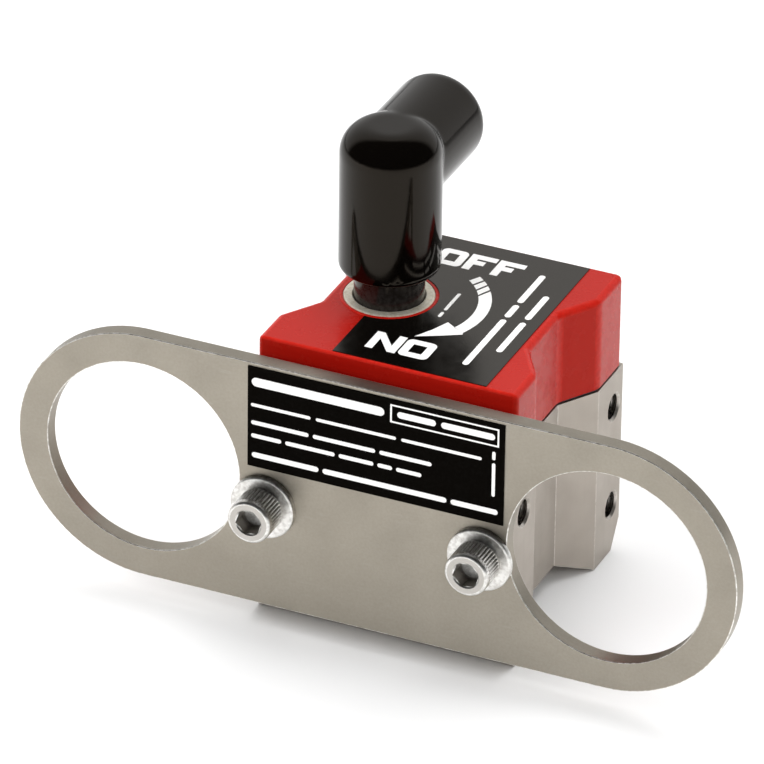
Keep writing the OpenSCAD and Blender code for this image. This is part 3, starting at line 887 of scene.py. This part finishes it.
def letter(kind, x, y, w, h, s):
    """Strokes of the letters O, N and F, in a box of w by h with strokes of width s."""
    if kind == "O":
        r, inner_r = 1.6, 0.35
        outer, inner = [], []
        for cx, cy, a in ((x + w - r, y + h - r, 0), (x + r, y + h - r, 90), (x + r, y + r, 180),
                          (x + w - r, y + r, 270)):
            outer += arc(cx, cy, r, a, a + 90, 5)
            for px, py in arc(cx, cy, inner_r, a, a + 90, 5):
                inner.append((min(max(px, x + s), x + w - s), min(max(py, y + s), y + h - s)))
        return [[outer[i - 1], outer[i], inner[i], inner[i - 1]] for i in range(len(outer))]
    if kind == "F":
        return [rectangle(x, y, x + s, y + h), rectangle(x + s, y + h - s, x + w, y + h),
                rectangle(x + s, y + h * 0.38, x + w * 0.66, y + h * 0.38 + s)]
    diagonal = [(x + s, y + h), (x + s, y + h - s * 1.5), (x + w - s, y), (x + w - s, y + s * 1.5)]
    return [rectangle(x, y, x + s, y + h), rectangle(x + w - s, y, x + w, y + h), diagonal]


def bars(x, y, widths, h, space):
    """A row of round-ended bars that stands for a line of small print."""
    shapes = []
    r = h / 2
    for w in widths:
        shapes.append(arc(x + w - r, y + r, r, -90, 90, 10) + arc(x + r, y + r, r, 90, 270, 10))
        x += w + space
    return shapes


def moved(shapes, x, y, degrees=0):
    """Shapes turned about their origin and then moved."""
    c, s = math.cos(math.radians(degrees)), math.sin(math.radians(degrees))
    return [[(x + px * c - py * s, y + px * s + py * c) for px, py in shape] for shape in shapes]


def arrow():
    """Curved arrow from the off side to the on side, with a tail of slanted stripes."""
    outer, inner = 23.9, 20.55
    stripes = [(52.6, 47.9, 51.3, 45.6), (46.2, 41.8, 43.5, 37.8), (40.0, 35.4, 35.7, 29.8)]
    shapes = []
    for start, end, inner_start, inner_end in stripes:
        shapes.append(arc(0, 0, outer, start, end, 3) + arc(0, 0, inner, inner_end, inner_start, 3))
    shapes.append(arc(0, 0, outer, 33.4, -22, 24) + arc(0, 0, inner, -22, 27.7, 24))
    shapes.append([(16.6, -5.8), (19.0, -7.4), (22.0, -8.8), (22.4, -9.9), (17.4, -12.9), (11.85, -15.9),
                   (14.6, -10.8)])
    return moved(shapes, AXIS_X + 2.6, MID_Y - 1.0)


def cover_print():
    """The names of the two positions, the arrow between them, and bars in place of the small print."""
    off = letter("O", -11.0, 0, 7.2, 8.1, 2.1) + letter("F", -3.1, 0, 7.15, 8.1, 2.1)
    off += letter("F", 4.65, 0, 7.2, 8.1, 2.1)
    on = letter("N", -8.85, 0, 8.2, 8.5, 2.1) + letter("O", -0.15, 0, 8.05, 8.5, 2.2)
    notes = moved(bars(0, 0, (15.4, 6.7, 25.0), 1.7, 1.4), 16.6, FRONT_Y + 61.6, -90)
    notes += moved(bars(0, 0, (13.0, 16.2), 1.7, 1.8), 21.7, FRONT_Y + 52.1, -90)
    notes += moved(bars(0, 0, (9.4, 2.6), 0.9, 1.1), 1.55, FRONT_Y + 44.1, -90)
    shapes = moved(off, 0, FRONT_Y + 56.4) + moved(on, 0, FRONT_Y + 9.4) + notes + arrow()
    return printed(shapes, "cover_label_print", at(0, 0, LABEL_TOP))


def plate_print():
    """Plain bars and a frame in place of the lines of print, measured from the plate's middle line."""
    shapes = bars(-33.2, 28.4, (36.3,), 2.5, 1.3)
    shapes += outlined(4.7, 27.3, 34.2, 32.5, 0.45) + bars(6.6, 29.0, (10.5, 14.6), 1.8, 1.4)
    shapes += bars(-33.4, 22.5, (16.4, 21.9, 21.8), 0.9, 1.45)
    shapes += bars(-33.3, 17.3, (15.8, 17.1, 14.2), 1.15, 1.15)
    shapes += bars(-33.3, 13.5, (8.3, 13.6, 9.5, 4.0, 6.9), 1.15, 1.1)
    shapes += bars(-33.1, 7.8, (18.4, 33.9, 12.8), 1.5, 1.1)
    shapes += moved(bars(0, 0, (9.6, 2.4), 0.9, 0.9), 33.3, 12.9, 90)
    return printed(shapes, "plate_label_print", at(0, PLATE_LABEL_LOW.y, PLATE_Z) @ ALONG_MINUS_Y)


# ---------------------------------------------------------------- floor, light and camera
FLOOR_SIZE, FLOOR_DROP = 6.0, 0.0002  # metres; the floor lies just under the feet
WALL_TOWARD = (-0.404, 0.915, 0.0)  # straight away from the camera
WALL_EDGE, WALL_FULL = 0.22, 0.48  # cosines of the angle to the wall, where it starts and is full
ROOM_LIGHT, WALL_LIGHT = 0.03, 0.92


def stage_floor():
    """A wide pale floor."""
    bm = bmesh.new()
    bmesh.ops.create_grid(bm, x_segments=1, y_segments=1, size=FLOOR_SIZE)
    mesh = bpy.data.meshes.new("floor")
    bm.to_mesh(mesh)
    bm.free()
    floor = bpy.data.objects.new("floor", mesh)
    floor.location = (0, 0, -FLOOR_DROP)
    bpy.context.scene.collection.objects.link(floor)
    look = Look("pale_floor", (0.94, 0.94, 0.94), 0.0, 0.7, Specular_IOR_Level=0.2)
    look.tint(look.ramp(look.noise(3, 3), 0.3, 0.7, 0.0, 0.4), (0.92, 0.92, 0.92))
    mesh.materials.append(look.material)


def area_light(name, direction, distance, size, power, aim):
    """A soft rectangular light, in metres, aimed at a point from a direction and seen in no reflection."""
    data = bpy.data.lights.new(name, "AREA")
    data.shape = "RECTANGLE"
    data.size, data.size_y = size
    data.energy = power
    light = bpy.data.objects.new(name, data)
    toward = Vector(direction).normalized()
    light.location = aim + toward * distance
    light.rotation_mode = "QUATERNION"
    light.rotation_quaternion = (-toward).to_track_quat("-Z", "Y")
    light.visible_glossy = False
    bpy.context.scene.collection.objects.link(light)


def light_room():
    """A studio with a bright wall behind the object, a dark room round the viewer and four soft lights."""
    world = bpy.data.worlds.new("studio")
    bpy.context.scene.world = world
    world.use_nodes = True
    tree = world.node_tree
    background = tree.nodes["Background"]
    background.inputs["Strength"].default_value = 1.0
    direction = tree.nodes.new("ShaderNodeTexCoord").outputs["Generated"]
    facing = tree.nodes.new("ShaderNodeVectorMath")
    facing.operation = "DOT_PRODUCT"
    facing.inputs[1].default_value = Vector(WALL_TOWARD).normalized()
    tree.links.new(direction, facing.inputs[0])
    fade = tree.nodes.new("ShaderNodeMapRange")
    fade.interpolation_type = "SMOOTHSTEP"
    for key, number in (("From Min", WALL_EDGE), ("From Max", WALL_FULL), ("To Min", ROOM_LIGHT),
                        ("To Max", WALL_LIGHT)):
        fade.inputs[key].default_value = number
    tree.links.new(facing.outputs["Value"], fade.inputs["Value"])
    tree.links.new(fade.outputs["Result"], background.inputs["Color"])
    aim = Vector((0, 0, 0.05))
    area_light("key", (-0.95, -0.85, 0.9), 1.3, (1.2, 1.2), 14.5, aim)
    area_light("front", (0.2, -1.0, 0.45), 1.3, (1.1, 0.8), 2.0, aim)
    area_light("right", (1.0, -0.1, 0.5), 1.1, (0.9, 0.9), 4.6, aim)
    area_light("top", (0.1, 0.2, 1.0), 1.3, (1.3, 1.3), 14.5, aim)


def camera():
    """Long lens, to the right of the front and 30 degrees above it."""
    azimuth, elevation, roll = math.radians(23.805), math.radians(30.038), math.radians(0.761)
    aim = Vector((0.3, FRONT_Y, PLATE_Z + 35.25)) * MM
    distance = 2.0576
    level = Vector((math.sin(azimuth), -math.cos(azimuth), 0))
    back = level * math.cos(elevation) + Vector((0, 0, math.sin(elevation)))
    right = Vector((0, 0, 1)).cross(back).normalized()
    up = back.cross(right)
    right, up = (right * math.cos(roll) + up * math.sin(roll), up * math.cos(roll) - right * math.sin(roll))
    data = bpy.data.cameras.new("camera")
    data.sensor_width = 36
    data.lens = 390.34
    data.clip_end = 20
    eye = bpy.data.objects.new("camera", data)
    turn = Matrix((right, up, back)).transposed().to_4x4()
    eye.matrix_world = Matrix.Translation(aim + back * distance) @ turn
    bpy.context.scene.collection.objects.link(eye)
    bpy.context.scene.camera = eye


dress_kept_nodes()
housing()
hole_shade_lining()
cover()
bush()
grip()
grip_lip()
spring()
plate()
washers()
screws()
cover_print()
plate_print()
stage_floor()
light_room()
camera()
bpy.context.scene.view_settings.view_transform = "Standard"
